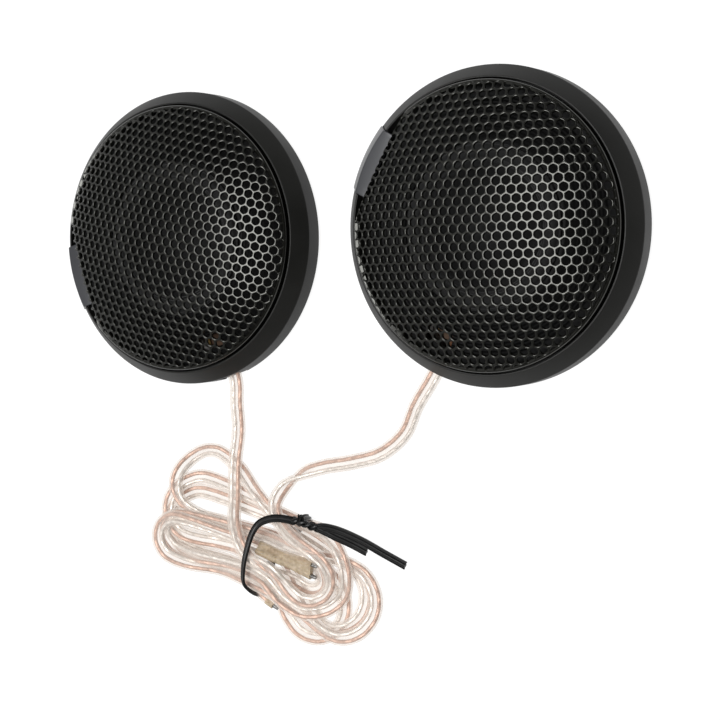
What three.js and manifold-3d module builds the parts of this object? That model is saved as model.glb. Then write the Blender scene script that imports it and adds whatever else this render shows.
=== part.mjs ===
// A pair of surface-mount dome tweeters for a car, with their clear twin leads in a tied hank.
// Millimetres, +Z up. Both tweeters lie on their adhesive pads with their domes up, and the
// origin is on the floor midway between them.
import * as THREE from 'three';
import { mergeVertices } from 'three/addons/utils/BufferGeometryUtils.js';
import Module from 'manifold-3d';

const wasm = await Module();
wasm.setup();

// ---- driving dimensions ----
const GAP = 0.3; // clearance between pieces that touch on the real object
const PAIR_SPACING = 57.8; // between the two tweeters' axes
const TURN = { left: 15.8, right: -29.2 }; // each tweeter's rotation about its own axis, degrees
const LEAD_ANGLE = 273; // where the lead leaves a tweeter; the badge plate is at 180
const BADGE_ANGLE = 180;

const OUTER_R = 25;
const RING_FOOT_Z = 0.3; // the ring stands this far off the floor, on the adhesive pad
const WALL_TOP_Z = 3.85;
const LIP_Z = 6.4;
const LIP_R = 22.75;
const LIP_LAND = 0.25; // the flat top of the lip
const LEDGE_Z = 4.6; // inner ledge that carries the driver's faceplate
const CAVITY_R = 21.2;
const COVER_R = 23.1;
const COVER_SEAT_Z = 2.0;

const GRILLE_R = 22.4; // where the dome turns down into its skirt
const GRILLE_EDGE_Z = 7.1;
const GRILLE_RISE = 4.95;
const GRILLE_SHEET = 0.45;
const GRILLE_SKIRT = 1.2;
const GRILLE_SHOULDER_R = 20.4; // the crown is a sphere inside this radius, the roll lies outside
const GRILLE_SHOULDER_RISE = 3.95; // how far the sphere has dropped at the shoulder

const BADGE_HALF = 5.5;
const GRILLE_CHORD = 20.1; // where the grille is cut straight beside the badge plate
const BADGE_INNER = 20.7;
const BADGE_PROUD = 0.22; // how far the plate stands off the lip and chamfer
const BADGE_SHEET = 0.6;

const DOME_R = 9.9;
const DOME_RISE = 2.6;
const DOME_BASE_Z = 6.75;
const DOME_SHEET = 0.25;
const SURROUND_INNER_R = 10.2;
const SURROUND_OUTER_R = 13.0;
const SURROUND_ROLL = 0.8;

const POLE_R = 8.9;
const FORMER_R = 9.4;
const COIL_R = 10.0;
const YOKE_INNER_R = 10.6;
const YOKE_R = 12.2;
const YOKE_FOOT_Z = 2.0;
const YOKE_TOP_Z = 5.5;
const YOKE_FLOOR = 0.9;
const POLE_PLATE_THICK = 0.7;
const MAGNET_FOOT_Z = 3.2;
const COIL_LOW_Z = 4.5;
const COIL_HIGH_Z = 5.6;

const FACEPLATE_BORE_R = 11;
const FACEPLATE_UNDER_Z = 4.9;
const FACEPLATE_SEAT_Z = 6.4; // the step under the surround's flange
const FACEPLATE_BROW_Z = 6.95; // its highest point, round the surround
const FACEPLATE_EDGE_Z = 5.35;
const WINDOW_INNER_R = 17.6; // the opening that the lead's cores come up through
const WINDOW_OUTER_R = 20;
const WINDOW_HALF = 2.4;

const SCREW_CIRCLE_R = 20.2;
const SCREW_ANGLES = [333, 93, 213];
const BOSS_R = 2.2;
const SCREW_HEAD_R = 1.6;
const SCREW_SHANK_R = 0.8;

const LEAD_WIDTH = 2.6; // flat twin cord, across both cores
const LEAD_THICK = 1.35;
const LEAD_EXIT_Z = 1.65;
const LEAD_FLOOR_Z = 0.8; // centreline of a lead that lies on the floor
const NOTCH_WIDTH = 4.8;
const NOTCH_TOP_Z = 3.25;
const NOTCH_INNER_R = 19.2;

const RING_SEGMENTS = 40;
const MID_SEGMENTS = 24;
const SMALL_SEGMENTS = 12;

// ---- materials ----
const finish = (color, roughness, metalness) =>
  new THREE.MeshStandardMaterial({ color, roughness, metalness });
const satinPlastic = finish(0x2b2b2a, 0.45, 0);
const badgePlastic = finish(0x3b3c40, 0.4, 0);
const blackSteel = finish(0x161616, 0.35, 0.3);
const innerPlastic = finish(0x1c1c1c, 0.7, 0);
const diaphragmFilm = finish(0x4a4a4a, 0.4, 0);
const softRubber = finish(0x141414, 0.85, 0);
const coilCopper = finish(0xa8623a, 0.35, 1);
const platedSteel = finish(0xb9bcc0, 0.3, 1);
const ceramicMagnet = finish(0x8e8f92, 0.3, 1);
const boardPaper = finish(0x8a5a2c, 0.7, 0);
const terminalBrass = finish(0xc0a050, 0.3, 1);
const capacitorBody = finish(0x7c2f1d, 0.5, 0);
const foamPad = finish(0x202020, 0.95, 0);
const clearCord = finish(0xe2c3b2, 0.25, 0);
const tieVinyl = finish(0x101010, 0.5, 0);

// ---- solid helpers ----
const radians = THREE.MathUtils.degToRad;

function weld(geometry) {
  const bare = geometry.index ? geometry.clone() : mergeVertices(geometry);
  for (const name of Object.keys(bare.attributes)) {
    if (name !== 'position') bare.deleteAttribute(name);
  }
  const merged = mergeVertices(bare, 1e-4);
  const position = merged.attributes.position;
  const index = merged.index.array;
  const corners = [];
  let sixVolumes = 0;
  const p = [new THREE.Vector3(), new THREE.Vector3(), new THREE.Vector3()];
  for (let i = 0; i < index.length; i += 3) {
    const [a, b, c] = index.slice(i, i + 3);
    if (a === b || b === c || c === a) continue;
    corners.push(a, b, c);
    [a, b, c].forEach((corner, k) => p[k].fromBufferAttribute(position, corner));
    sixVolumes += p[0].dot(p[1].clone().cross(p[2]));
  }
  if (sixVolumes < 0) {
    for (let i = 0; i < corners.length; i += 3) {
      [corners[i + 1], corners[i + 2]] = [corners[i + 2], corners[i + 1]];
    }
  }
  merged.setIndex(corners);
  return merged;
}

function toSolid(geometry) {
  const welded = weld(geometry);
  return new wasm.Manifold(new wasm.Mesh({
    numProp: 3,
    vertProperties: new Float32Array(welded.attributes.position.array),
    triVerts: new Uint32Array(welded.index.array),
  }));
}

function fromSolid(solid) {
  const { vertProperties, triVerts } = solid.getMesh();
  const geometry = new THREE.BufferGeometry();
  geometry.setAttribute('position', new THREE.BufferAttribute(vertProperties, 3));
  geometry.setIndex(Array.from(triVerts));
  return geometry;
}

// A profile is a loop of [radius, z] corners that closes on itself or on the axis.
function turned(profile, segments = RING_SEGMENTS) {
  const points = profile.map(([r, z]) => new THREE.Vector2(r, z));
  const onAxis = profile[0][0] === 0 && profile.at(-1)[0] === 0;
  if (!onAxis) points.push(points[0].clone());
  return weld(new THREE.LatheGeometry(points, segments).rotateX(Math.PI / 2));
}

function disc(radius, low, high, segments = SMALL_SEGMENTS) {
  return turned([[0, low], [radius, low], [radius, high], [0, high]], segments);
}

function tube(inner, outer, low, high, segments = MID_SEGMENTS) {
  return turned([[inner, low], [outer, low], [outer, high], [inner, high]], segments);
}

// A box between two corners, turned about Z so that its +X side faces the given angle.
function block([x0, y0, z0], [x1, y1, z1], angle = 0) {
  const box = new THREE.BoxGeometry(x1 - x0, y1 - y0, z1 - z0);
  box.translate((x0 + x1) / 2, (y0 + y1) / 2, (z0 + z1) / 2);
  return box.rotateZ(radians(angle));
}

function radialBlock(angle, halfWidth, inner, outer, low, high) {
  return block([inner, -halfWidth, low], [outer, halfWidth, high], angle);
}

const at = (geometry, radius, angle) => geometry.translate(
  radius * Math.cos(radians(angle)),
  radius * Math.sin(radians(angle)),
  0,
);

function carve(base, ...cutters) {
  let solid = toSolid(base);
  for (const cutter of cutters) solid = solid.subtract(toSolid(cutter));
  return fromSolid(solid);
}

// Points of an arc in the profile plane, from one angle to another about a centre.
function arc([cr, cz], radius, from, to, steps) {
  return Array.from({ length: steps + 1 }, (_, i) => {
    const a = radians(from + ((to - from) * i) / steps);
    return [cr + radius * Math.cos(a), cz + radius * Math.sin(a)];
  });
}

// A swept cord of oval section along a smooth route.
function cord(route, width, thickness, steps, sides = 8) {
  const points = route.map((p) => new THREE.Vector3(...p));
  const curve = new THREE.CatmullRomCurve3(points, false, 'centripetal');
  const section = new THREE.Shape(Array.from({ length: sides }, (_, i) => {
    const a = ((i + 0.5) / sides) * 2 * Math.PI;
    return new THREE.Vector2((thickness / 2) * Math.cos(a), (width / 2) * Math.sin(a));
  }));
  return new THREE.ExtrudeGeometry(section, { steps, extrudePath: curve, bevelEnabled: false });
}

// ---- grille dome ----
// The crown is a sphere out to the shoulder, then a roll turns it down into the skirt.
const ROLL_BULGE = 0.12;
const rollDrop = GRILLE_RISE - GRILLE_SHOULDER_RISE;
const sphereRadius = (half, rise) => (half ** 2 + rise ** 2) / (2 * rise);
const crownRadius = sphereRadius(GRILLE_SHOULDER_R, GRILLE_SHOULDER_RISE);
const apexZ = GRILLE_EDGE_Z + GRILLE_RISE;

function domeProfile(inset) {
  const radius = crownRadius - inset;
  const centreZ = apexZ - crownRadius;
  const halfAngle = THREE.MathUtils.radToDeg(Math.asin(GRILLE_SHOULDER_R / crownRadius));
  const crown = arc([0, centreZ], radius, 90, 90 - halfAngle, 5);
  crown[0][0] = 0;
  const rollR = GRILLE_R - inset;
  const shoulder = crown.at(-1);
  const roll = [
    [(shoulder[0] + rollR) / 2 + ROLL_BULGE, shoulder[1] - rollDrop * 0.4],
    [rollR, GRILLE_EDGE_Z - inset * 0.4],
    [rollR, GRILLE_EDGE_Z - GRILLE_SKIRT],
  ];
  return [...crown, ...roll];
}

function grille() {
  const shell = turned([...domeProfile(0), ...domeProfile(GRILLE_SHEET).reverse()]);
  const badgeSide = radialBlock(BADGE_ANGLE, OUTER_R, GRILLE_CHORD, OUTER_R + 1, 0, apexZ);
  return carve(shell, badgeSide);
}

// ---- ring and badge plate ----
const ringTop = [LIP_R + LIP_LAND, LIP_Z];
const chamferFoot = [OUTER_R, WALL_TOP_Z];
const chamferDrop = ringTop[1] - chamferFoot[1];
const chamferRun = chamferFoot[0] - ringTop[0];
const chamferLength = Math.hypot(chamferDrop, chamferRun);

function offChamfer([r, z], distance) {
  const scale = distance / chamferLength;
  return [r + chamferDrop * scale, z + chamferRun * scale];
}

// The plate's profile wraps the lip and chamfer; grow makes the pocket that it sits in.
function badgeProfile(grow) {
  const top = LIP_Z + BADGE_PROUD + grow;
  const under = LIP_Z + BADGE_PROUD - BADGE_SHEET - grow;
  const outerTop = offChamfer(ringTop, BADGE_PROUD + grow);
  const outerFoot = offChamfer(chamferFoot, BADGE_PROUD + grow);
  const innerFoot = offChamfer(chamferFoot, BADGE_PROUD - BADGE_SHEET - grow);
  const innerTop = offChamfer(ringTop, BADGE_PROUD - BADGE_SHEET - grow);
  return [
    [BADGE_INNER - 2, top],
    [outerTop[0], top],
    [outerFoot[0], WALL_TOP_Z - grow],
    [innerFoot[0], WALL_TOP_Z - grow],
    [innerTop[0], under],
    [BADGE_INNER - 2, under],
  ];
}

function badgeSolid(grow) {
  const inner = BADGE_INNER - grow;
  const window = radialBlock(BADGE_ANGLE, BADGE_HALF + grow, inner, OUTER_R + 2, 0, apexZ);
  return fromSolid(toSolid(turned(badgeProfile(grow))).intersect(toSolid(window)));
}

function leadNotch() {
  return radialBlock(LEAD_ANGLE, NOTCH_WIDTH / 2, NOTCH_INNER_R, OUTER_R + 1, -1, NOTCH_TOP_Z);
}

function bezelRing() {
  const footBevel = 0.25;
  const ring = turned([
    [COVER_R + GAP, RING_FOOT_Z],
    [OUTER_R - footBevel, RING_FOOT_Z],
    [OUTER_R, RING_FOOT_Z + footBevel],
    chamferFoot,
    ringTop,
    [LIP_R, LIP_Z],
    [LIP_R - 0.05, LEDGE_Z],
    [CAVITY_R, LEDGE_Z],
    [CAVITY_R, COVER_SEAT_Z],
    [COVER_R + GAP, COVER_SEAT_Z],
  ]);
  let solid = toSolid(ring);
  for (const angle of SCREW_ANGLES) {
    const boss = at(disc(BOSS_R, COVER_SEAT_Z, LEDGE_Z), SCREW_CIRCLE_R, angle);
    solid = solid.add(toSolid(boss));
  }
  for (const angle of SCREW_ANGLES) {
    const pilot = at(disc(SCREW_SHANK_R + GAP, 0, LEDGE_Z - 0.5), SCREW_CIRCLE_R, angle);
    solid = solid.subtract(toSolid(pilot));
  }
  solid = solid.subtract(toSolid(badgeSolid(GAP)));
  solid = solid.subtract(toSolid(leadNotch()));
  return fromSolid(solid);
}

// ---- rear ----
const COVER_UNDER_Z = 0.5;
const COVER_TOP_Z = COVER_SEAT_Z - GAP;
const PAD_R = 16.8;
const PAD_THICK = 0.8;
const HEAD_SEAT_Z = 1.2;

function backCover() {
  const plate = disc(COVER_R, COVER_UNDER_Z, COVER_TOP_Z, RING_SEGMENTS);
  const padRecess = disc(PAD_R + 0.4, 0, PAD_THICK + GAP, RING_SEGMENTS);
  const screwHoles = SCREW_ANGLES.flatMap((angle) => [
    at(disc(SCREW_HEAD_R + GAP, 0, HEAD_SEAT_Z), SCREW_CIRCLE_R, angle),
    at(disc(SCREW_SHANK_R + GAP, 0, COVER_SEAT_Z), SCREW_CIRCLE_R, angle),
  ]);
  return carve(plate, padRecess, leadNotch(), ...screwHoles);
}

function coverScrew(angle) {
  const headTop = HEAD_SEAT_Z - GAP;
  const body = turned([
    [0, COVER_UNDER_Z - 0.1],
    [SCREW_HEAD_R * 0.8, COVER_UNDER_Z - 0.1],
    [SCREW_HEAD_R, COVER_UNDER_Z + 0.1],
    [SCREW_HEAD_R, headTop],
    [SCREW_SHANK_R, headTop],
    [SCREW_SHANK_R, LEDGE_Z - 1.2],
    [0, LEDGE_Z - 0.8],
  ], SMALL_SEGMENTS);
  const slot = 0.25;
  const slotRoof = COVER_UNDER_Z + 0.25;
  const cross = [0, 90].map((turn) => block([-1, -slot / 2, 0], [1, slot / 2, slotRoof], turn));
  return at(carve(body, ...cross), SCREW_CIRCLE_R, angle);
}

// ---- driver ----
function faceplate() {
  const edgeR = LIP_R - 0.45;
  const browR = SURROUND_OUTER_R + GAP;
  const browLow = FACEPLATE_SEAT_Z - 0.6;
  const plate = turned([
    [FACEPLATE_BORE_R, browLow],
    [browR + 0.3, browLow],
    [browR + 1.2, FACEPLATE_UNDER_Z],
    [edgeR, FACEPLATE_UNDER_Z],
    [edgeR, FACEPLATE_EDGE_Z],
    [edgeR - 2, FACEPLATE_EDGE_Z],
    [(edgeR - 2 + browR) / 2, (FACEPLATE_EDGE_Z + FACEPLATE_BROW_Z) / 2 + 0.1],
    [browR + 0.2, FACEPLATE_BROW_Z],
    [browR, FACEPLATE_BROW_Z],
    [browR, FACEPLATE_SEAT_Z],
    [FACEPLATE_BORE_R, FACEPLATE_SEAT_Z],
  ]);
  const sides = [WINDOW_HALF, WINDOW_INNER_R, WINDOW_OUTER_R];
  return carve(plate, radialBlock(LEAD_ANGLE, ...sides, LEDGE_Z, FACEPLATE_BROW_Z));
}

function domeDiaphragm() {
  const cap = (rise, radius) => {
    const sphere = sphereRadius(radius, rise);
    const half = THREE.MathUtils.radToDeg(Math.asin(radius / sphere));
    const points = arc([0, DOME_BASE_Z + DOME_SHEET + rise - sphere], sphere, 90, 90 - half, 4);
    points[0][0] = 0;
    return points;
  };
  const outer = cap(DOME_RISE, DOME_R - 0.6);
  const inner = outer.map(([r, z]) => [r, z - DOME_SHEET]).reverse();
  const rim = [[DOME_R, DOME_BASE_Z + DOME_SHEET], [DOME_R, DOME_BASE_Z]];
  return turned([...outer, ...rim, ...inner], MID_SEGMENTS);
}

function surroundRoll() {
  const middle = (SURROUND_INNER_R + SURROUND_OUTER_R) / 2;
  const half = (SURROUND_OUTER_R - SURROUND_INNER_R) / 2 - 0.35;
  const over = Array.from({ length: 5 }, (_, i) => {
    const a = Math.PI * (1 - i / 4);
    return [middle + half * Math.cos(a), DOME_BASE_Z + DOME_SHEET + SURROUND_ROLL * Math.sin(a)];
  });
  const under = over.map(([r, z]) => [r, z - DOME_SHEET]).reverse();
  const top = DOME_BASE_Z + DOME_SHEET;
  return turned([
    [SURROUND_INNER_R, top],
    ...over,
    [SURROUND_OUTER_R, top],
    [SURROUND_OUTER_R, DOME_BASE_Z],
    ...under,
    [SURROUND_INNER_R, DOME_BASE_Z],
  ], MID_SEGMENTS);
}

function yokeCup() {
  const floorTop = YOKE_FOOT_Z + YOKE_FLOOR;
  const bevel = 0.3;
  return turned([
    [0, YOKE_FOOT_Z],
    [YOKE_R - bevel, YOKE_FOOT_Z],
    [YOKE_R, YOKE_FOOT_Z + bevel],
    [YOKE_R, YOKE_TOP_Z],
    [YOKE_INNER_R, YOKE_TOP_Z],
    [YOKE_INNER_R, floorTop],
    [0, floorTop],
  ], MID_SEGMENTS);
}

// ---- wiring ----
const BOARD_TOP_Z = 2.8;
const TAB_LOW_Z = BOARD_TOP_Z + GAP;
const TAB_HIGH_Z = TAB_LOW_Z + 0.3;
const TAB_OFFSET = 2.4;
const CAPACITOR_ANGLE = LEAD_ANGLE + 34;

const terminal = (side) => block(
  [15.6, side * TAB_OFFSET - 0.8, TAB_LOW_Z],
  [18.8, side * TAB_OFFSET + 0.8, TAB_HIGH_Z],
  LEAD_ANGLE,
);

// One insulated core: in from the lead, up and over its terminal tab.
function innerLead(side) {
  const coreR = 0.55;
  const overTab = TAB_HIGH_Z + GAP + coreR;
  const route = [
    [20.9, side * 0.75, LEAD_EXIT_Z],
    [20.2, side * 0.9, LEAD_EXIT_Z + 0.8],
    [19.6, side * 1.6, overTab - 0.5],
    [18.6, side * TAB_OFFSET, overTab],
    [16.2, side * TAB_OFFSET, overTab],
  ];
  return cord(route, 2 * coreR, 2 * coreR, 12).rotateZ(radians(LEAD_ANGLE));
}

function leadGrommet() {
  const outside = radialBlock(
    LEAD_ANGLE,
    NOTCH_WIDTH / 2 - GAP,
    CAVITY_R,
    OUTER_R - 0.2,
    RING_FOOT_Z,
    NOTCH_TOP_Z - GAP,
  );
  const bore = radialBlock(
    LEAD_ANGLE,
    LEAD_WIDTH / 2 + GAP,
    CAVITY_R - 1,
    OUTER_R + 1,
    LEAD_EXIT_Z - LEAD_THICK / 2 - GAP,
    LEAD_EXIT_Z + LEAD_THICK / 2 + GAP,
  );
  return carve(outside, bore);
}

// ---- one tweeter ----
const former = () => tube(FORMER_R - 0.1, FORMER_R + 0.1, COIL_LOW_Z - 0.1, DOME_BASE_Z - GAP);
const coil = () => tube(COIL_R - 0.2, COIL_R + 0.2, COIL_LOW_Z, COIL_HIGH_Z);
const polePlateLow = YOKE_TOP_Z - POLE_PLATE_THICK;
const polePlate = () => disc(POLE_R, polePlateLow, YOKE_TOP_Z, MID_SEGMENTS);
const magnet = () => disc(POLE_R - 0.4, MAGNET_FOOT_Z, polePlateLow - GAP, MID_SEGMENTS);
const board = () => radialBlock(LEAD_ANGLE, 4.5, 15, 19.4, COVER_SEAT_Z, BOARD_TOP_Z);
const capacitor = () => radialBlock(CAPACITOR_ANGLE, 3, 14, 17.8, COVER_SEAT_Z, 4.4);
const adhesivePad = () => disc(PAD_R, 0, PAD_THICK, RING_SEGMENTS);

const tweeterPieces = {
  bezel_ring: [bezelRing, satinPlastic],
  badge_plate: [() => badgeSolid(0), badgePlastic],
  grille: [grille, blackSteel],
  faceplate: [faceplate, innerPlastic],
  dome_diaphragm: [domeDiaphragm, diaphragmFilm],
  surround: [surroundRoll, softRubber],
  voice_coil_former: [former, boardPaper],
  voice_coil: [coil, coilCopper],
  pole_plate: [polePlate, platedSteel],
  magnet: [magnet, ceramicMagnet],
  yoke_cup: [yokeCup, platedSteel],
  terminal_board: [board, boardPaper],
  positive_terminal: [() => terminal(1), terminalBrass],
  negative_terminal: [() => terminal(-1), terminalBrass],
  positive_inner_lead: [() => innerLead(1), clearCord],
  negative_inner_lead: [() => innerLead(-1), clearCord],
  high_pass_capacitor: [capacitor, capacitorBody],
  back_cover: [backCover, innerPlastic],
  adhesive_pad: [adhesivePad, foamPad],
  cover_screw_1: [() => coverScrew(SCREW_ANGLES[0]), platedSteel],
  cover_screw_2: [() => coverScrew(SCREW_ANGLES[1]), platedSteel],
  cover_screw_3: [() => coverScrew(SCREW_ANGLES[2]), platedSteel],
  lead_grommet: [leadGrommet, softRubber],
};

function named(name, geometry, material) {
  const mesh = new THREE.Mesh(weld(geometry), material);
  mesh.name = name;
  return mesh;
}

function tweeter(side, x) {
  const group = new THREE.Group();
  group.position.x = x;
  group.rotation.z = radians(TURN[side]);
  for (const [name, [make, material]] of Object.entries(tweeterPieces)) {
    group.add(named(`${side}_${name}`, make(), material));
  }
  return group;
}

// ---- leads, hank and tie ----
// A point on a tweeter's lead axis, at a radius from that tweeter's centre.
function onExit(side, x, radius, z) {
  const a = radians(TURN[side] + LEAD_ANGLE);
  return [x + radius * Math.cos(a), radius * Math.sin(a), z];
}

const leftX = -PAIR_SPACING / 2;
const rightX = PAIR_SPACING / 2;

const leftLeadRoute = [
  onExit('left', leftX, CAVITY_R + GAP, LEAD_EXIT_Z),
  onExit('left', leftX, OUTER_R + 1, LEAD_EXIT_Z),
  [-20.6, -28.5, 1.1],
  [-20.6, -32, LEAD_FLOOR_Z],
  [-20.8, -35.4, LEAD_FLOOR_Z],
];

const rightLeadRoute = [
  onExit('right', rightX, CAVITY_R + GAP, LEAD_EXIT_Z),
  onExit('right', rightX, OUTER_R + 1, LEAD_EXIT_Z),
  [13.9, -28.4, 1.1],
  [11.4, -32.9, LEAD_FLOOR_Z],
  [7, -36.3, LEAD_FLOOR_Z],
  [1.4, -37.9, LEAD_FLOOR_Z],
  [-4.2, -38.9, LEAD_FLOOR_Z],
  [-8.2, -40.2, LEAD_FLOOR_Z],
  [-11.2, -41.9, LEAD_FLOOR_Z],
];

const HANK_TOP_Z = 6.2;
const HANK_END_R = 10.2;
const HANK_END_OPEN = 62; // degrees from the long axis to where an end arc gives way to the waist
const HANK_WAIST = 14; // across the hank, where the tie draws it in
const WAIST_FROM = 2.5; // along the hank's long axis, from its middle
const WAIST_TO = 5.7;
const HANK_ENDS = [[-24.8, -46.6], [-3.4, -57.4]];

// Two round ends and a narrower waist, with room for the tie round it.
function leadHank() {
  const [start, end] = HANK_ENDS;
  const half = Math.hypot(end[0] - start[0], end[1] - start[1]) / 2;
  const turn = Math.atan2(end[1] - start[1], end[0] - start[0]);
  const open = radians(HANK_END_OPEN);
  const outline = new THREE.Shape();
  outline.absarc(half, 0, HANK_END_R, -Math.PI + open, Math.PI - open, false);
  outline.lineTo(WAIST_TO, HANK_WAIST / 2);
  outline.lineTo(WAIST_FROM, HANK_WAIST / 2);
  outline.absarc(-half, 0, HANK_END_R, open, 2 * Math.PI - open, false);
  outline.lineTo(WAIST_FROM, -HANK_WAIST / 2);
  outline.lineTo(WAIST_TO, -HANK_WAIST / 2);
  const options = { depth: HANK_TOP_Z, bevelEnabled: false, curveSegments: 14 };
  const body = new THREE.ExtrudeGeometry(outline, options).rotateZ(turn);
  body.translate((start[0] + end[0]) / 2, (start[1] + end[1]) / 2, 0);
  return fromSolid(toSolid(body).subtract(tieBand(GAP)));
}

// The tie's band: under the hank from the foot to the knot, up, and back over it by a corner.
const TIE_WIDTH = 1.4;
const TIE_THICK = 0.5;
const TIE_OVER_Z = 5.4; // underside of the band's run over the hank
const TIE_KNOT_R = 1.3;
const TIE_FOOT = [-15.3, -61];
const TIE_CORNER = [-14.5, -48.3];
const TIE_KNOT = [-5.4, -46.4];
const TIE_TAILS = [
  { length: 13.4, angle: -24.3 },
  { length: 20.7, angle: -19.5 },
];

// A flat length of tie between two points in plan, square-ended past both by the given reach.
function strap([x0, y0], [x1, y1], reach, low, high, grow) {
  const length = Math.hypot(x1 - x0, y1 - y0);
  const side = TIE_WIDTH / 2 + grow;
  const end = reach + grow;
  const box = block([-end, -side, low - grow], [length + end, side, high + grow]);
  return toSolid(box.rotateZ(Math.atan2(y1 - y0, x1 - x0)).translate(x0, y0, 0));
}

function tieBand(grow) {
  const top = TIE_OVER_Z + TIE_THICK;
  const half = TIE_THICK / 2;
  const overTop = grow ? HANK_TOP_Z : top; // the hank is open above the band
  const away = TIE_FOOT.map((v, i) => v - (TIE_KNOT[i] - v) * 1e-3);
  const past = TIE_KNOT.map((v, i) => v - (TIE_FOOT[i] - v) * 1e-3);
  const knot = new THREE.SphereGeometry(TIE_KNOT_R + grow, 10, 8);
  return [
    strap(TIE_FOOT, TIE_KNOT, half, 0, TIE_THICK, grow),
    strap(TIE_FOOT, away, half, 0, top, grow),
    strap(TIE_KNOT, past, half, 0, top, grow),
    strap(TIE_FOOT, TIE_CORNER, TIE_WIDTH / 2, TIE_OVER_Z, overTop, grow),
    strap(TIE_CORNER, TIE_KNOT, TIE_WIDTH / 2, TIE_OVER_Z, overTop, grow),
  ].reduce((whole, part) => whole.add(part), toSolid(knot.translate(...TIE_KNOT, TIE_OVER_Z)));
}

function twistTie() {
  let solid = tieBand(0);
  TIE_TAILS.forEach(({ length, angle }, i) => {
    const low = HANK_TOP_Z + GAP + i * TIE_THICK;
    const high = low + TIE_THICK;
    const tip = TIE_KNOT.map((v, k) => v + length * [Math.cos, Math.sin][k](radians(angle)));
    solid = solid.add(strap(TIE_KNOT, tip, 0, low, high, 0));
  });
  return fromSolid(solid);
}

const pair = new THREE.Group();
pair.add(
  tweeter('left', leftX),
  tweeter('right', rightX),
  named('left_lead', cord(leftLeadRoute, LEAD_WIDTH, LEAD_THICK, 12), clearCord),
  named('right_lead', cord(rightLeadRoute, LEAD_WIDTH, LEAD_THICK, 24), clearCord),
  named('lead_hank', leadHank(), clearCord),
  named('twist_tie', twistTie(), tieVinyl),
);

export default pair;
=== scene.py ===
"""A pair of surface-mount dome tweeters on a pale floor, with their clear twin leads in a tied hank."""

import math

import bmesh
import bpy
import numpy as np
from mathutils import Matrix, Vector


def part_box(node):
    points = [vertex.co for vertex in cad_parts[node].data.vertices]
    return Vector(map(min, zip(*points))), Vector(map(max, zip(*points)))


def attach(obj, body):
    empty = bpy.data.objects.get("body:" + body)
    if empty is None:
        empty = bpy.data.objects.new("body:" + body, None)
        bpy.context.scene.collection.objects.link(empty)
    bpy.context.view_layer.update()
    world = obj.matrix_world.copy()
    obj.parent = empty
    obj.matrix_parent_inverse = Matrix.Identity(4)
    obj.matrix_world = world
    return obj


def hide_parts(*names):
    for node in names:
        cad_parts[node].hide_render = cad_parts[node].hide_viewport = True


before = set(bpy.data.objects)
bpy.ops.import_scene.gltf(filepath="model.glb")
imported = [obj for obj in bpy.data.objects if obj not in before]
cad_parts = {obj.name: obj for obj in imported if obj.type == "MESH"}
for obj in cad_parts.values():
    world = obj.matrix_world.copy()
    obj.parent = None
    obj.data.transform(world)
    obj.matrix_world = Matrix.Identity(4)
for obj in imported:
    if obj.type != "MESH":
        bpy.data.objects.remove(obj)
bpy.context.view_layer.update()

MM = 0.001
SIDES = ("left", "right")

# ---- sizes shared with the CAD part, in millimetres ----
LEAD_ANGLE = 273  # where the lead leaves a tweeter, in the tweeter's own frame
OUTER_R = 25
RING_FOOT_Z = 0.3
WALL_TOP_Z = 3.85
LIP_Z = 6.4
LIP_R = 22.75
LIP_LAND = 0.25
LEDGE_Z = 4.6
CAVITY_R = 21.2
COVER_R = 23.1
COVER_SEAT_Z = 2.0
COVER_UNDER_Z = 0.5
GAP = 0.3

GRILLE_EDGE_Z = 7.1
GRILLE_RISE = 4.95
GRILLE_SHEET = 0.45
GRILLE_SKIRT = 1.2

BADGE_HALF = 5.5
GRILLE_CHORD = 20.1  # where the sheet is cut straight beside the badge plate
BADGE_INNER = 20.7
BADGE_PROUD = 0.22
BADGE_SHEET = 0.6

DOME_R = 9.9
DOME_RISE = 2.6
DOME_BASE_Z = 6.75
DOME_SHEET = 0.25
SURROUND_INNER_R = 10.2
SURROUND_OUTER_R = 13.0
SURROUND_ROLL = 0.8

SCREW_CIRCLE_R = 20.2
SCREW_ANGLES = (333, 93, 213)
SCREW_HEAD_R = 1.6
SCREW_SHANK_R = 0.8
SCREW_BOSS_R = 2.2
HEAD_SEAT_Z = 1.2
PAD_R = 16.8
PAD_THICK = 0.8
PAD_RECESS_R = PAD_R + 0.4
PAD_SEAT_Z = COVER_UNDER_Z + 0.6

LEAD_WIDTH = 2.6
LEAD_THICK = 1.35
LEAD_EXIT_Z = 1.65
NOTCH_WIDTH = 4.8
NOTCH_TOP_Z = 3.25
NOTCH_WEB_Z = 1.0  # the rear plate keeps a thin web under the lead
NOTCH_INNER_R = 19.2
TIE_WIDTH = 1.4

RING_SEGMENTS = 192
MID_SEGMENTS = 96
SMALL_SEGMENTS = 40


def add_object(name, data):
    obj = bpy.data.objects.new(name, data)
    bpy.context.scene.collection.objects.link(obj)
    return obj


# ---- camera ----
CAMERA_TARGET = (3.16, -20.95, 0.3)
CAMERA_DISTANCE = 272.6
CAMERA_TILT = 29.57  # away from straight down
CAMERA_HEADING = 5.83  # of the tilt, anticlockwise from +X
CAMERA_ROLL = -1.316
CAMERA_LENS = 82.66
SENSOR = 36


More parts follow.
